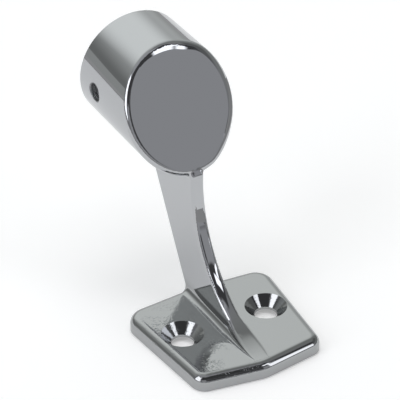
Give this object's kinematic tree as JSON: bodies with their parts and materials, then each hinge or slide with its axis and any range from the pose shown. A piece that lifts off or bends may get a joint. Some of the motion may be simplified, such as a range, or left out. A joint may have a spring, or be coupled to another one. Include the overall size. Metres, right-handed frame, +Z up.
{
  "type": "handrail bracket",
  "caption": "Handrail end bracket: a flat six-sided foot with countersunk holes, a thin swept blade and a blind tube socket with a slanted closed end.",
  "frame": {"origin": "midway between the two deck screw holes, on the underside of the foot that lies on the deck", "axes": "+Z up from the deck, +Y the way the rail tube leaves the socket, X across the foot through both screw holes"},
  "size_m": [0.0368, 0.0624, 0.063],
  "materials": {
    "polished_stainless": "mirror-polished stainless steel casting, slightly wavy, with fine polishing marks"
  },
  "bodies": {
    "root": {"bracket_casting": "polished_stainless"}
  },
  "joints": []
}
